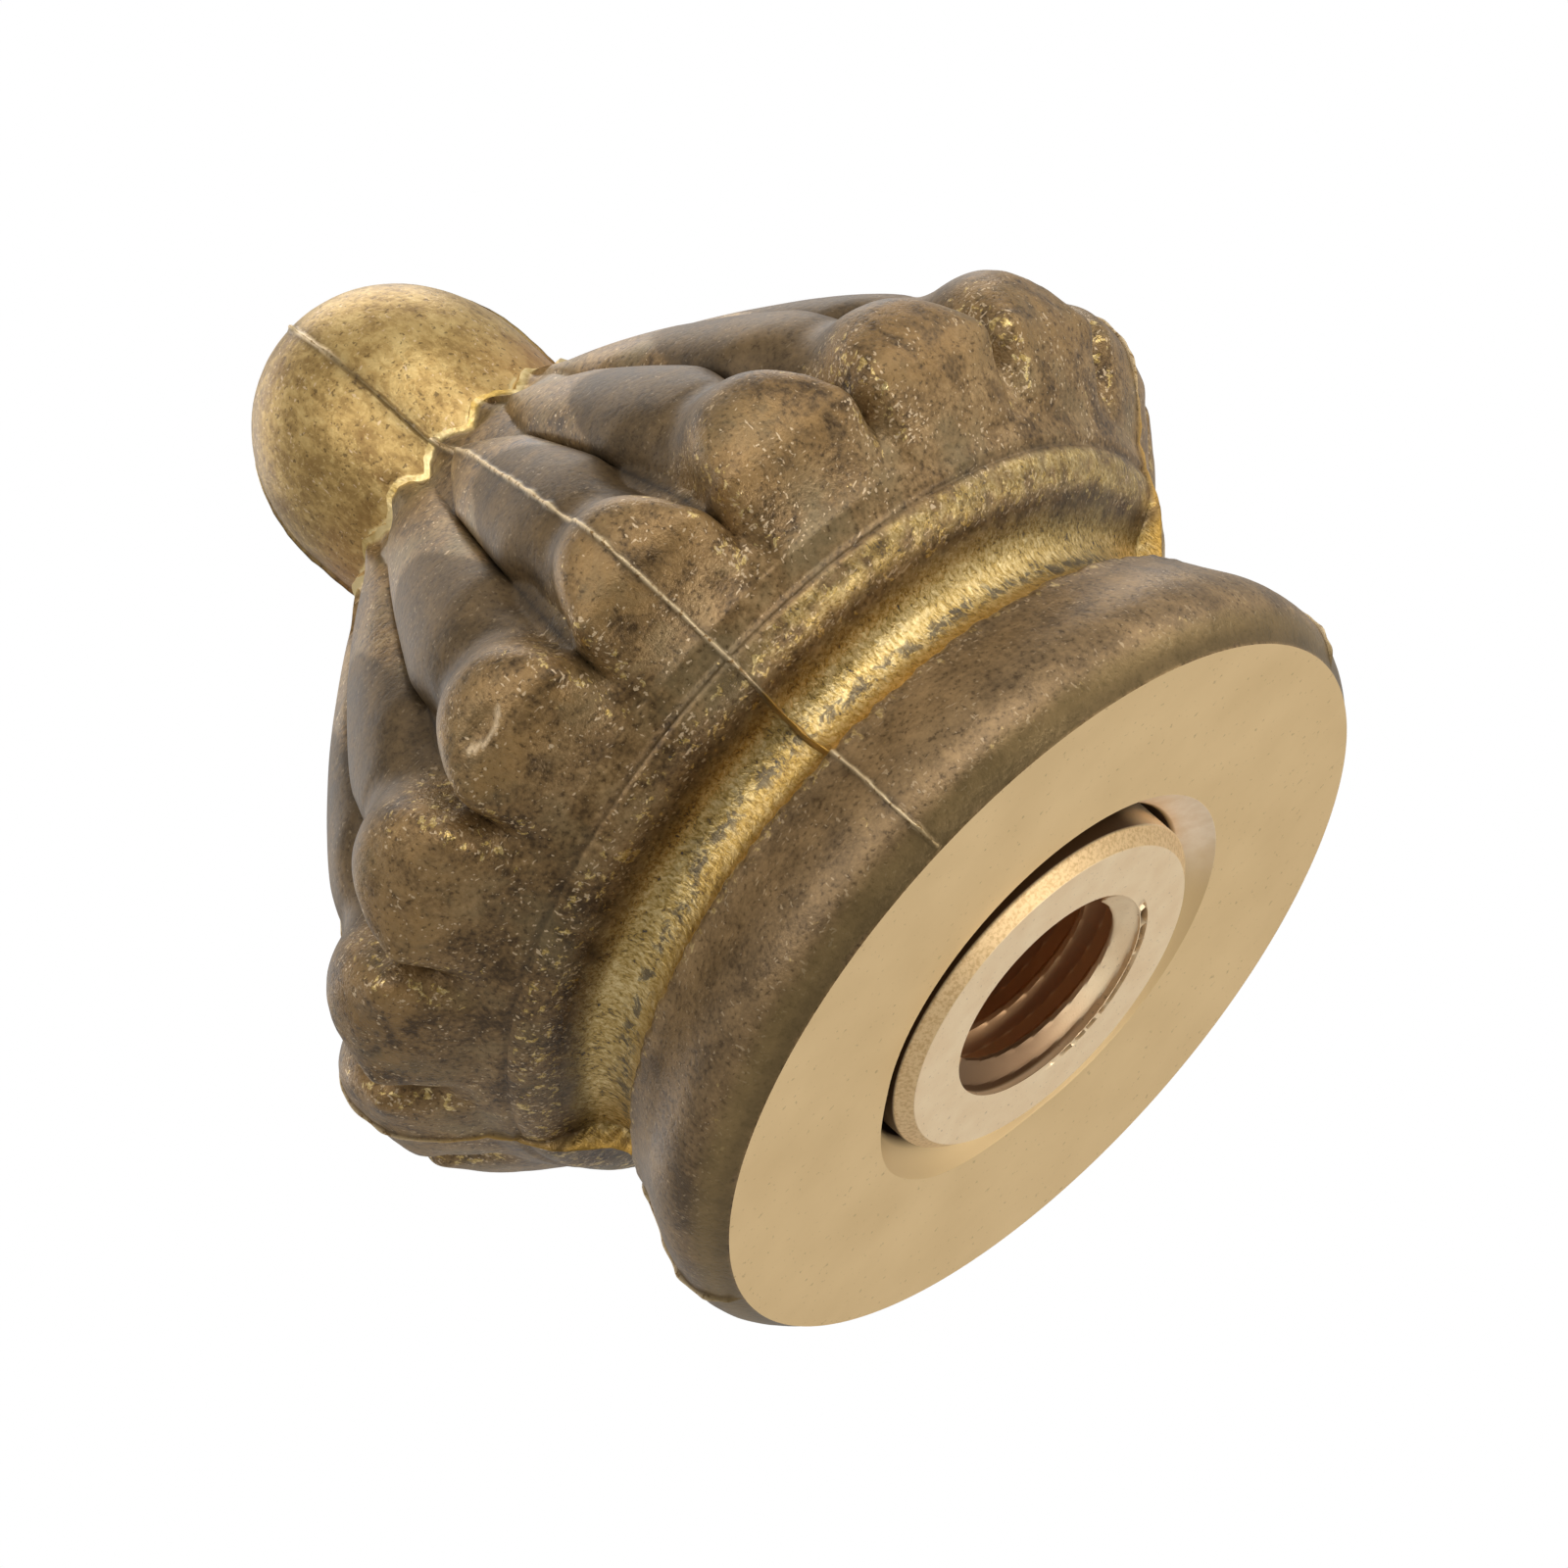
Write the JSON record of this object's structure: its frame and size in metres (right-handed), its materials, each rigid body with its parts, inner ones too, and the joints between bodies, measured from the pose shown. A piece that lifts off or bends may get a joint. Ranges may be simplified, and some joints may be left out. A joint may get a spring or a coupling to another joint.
{
  "type": "lamp finial",
  "caption": "Cast brass gadrooned finial with a ball tip, a waisted collar, a flat base disc and a machined threaded insert.",
  "frame": {"origin": "centre of the insert's end face, which is the lowest face of the standing finial", "axes": "+Z along the finial's axis, from the threaded base to the ball; -Y towards the middle of a lobe that carries a parting line"},
  "size_m": [0.0248, 0.0248, 0.0246],
  "materials": {
    "cast_brass": "aged cast brass with a dark brown and grey patina, bright in the groove and on the machined base",
    "machined_brass": "satin turned brass with golden chamfers"
  },
  "bodies": {
    "root": {"cast_body": "cast_brass", "threaded_insert": "machined_brass"}
  },
  "joints": []
}
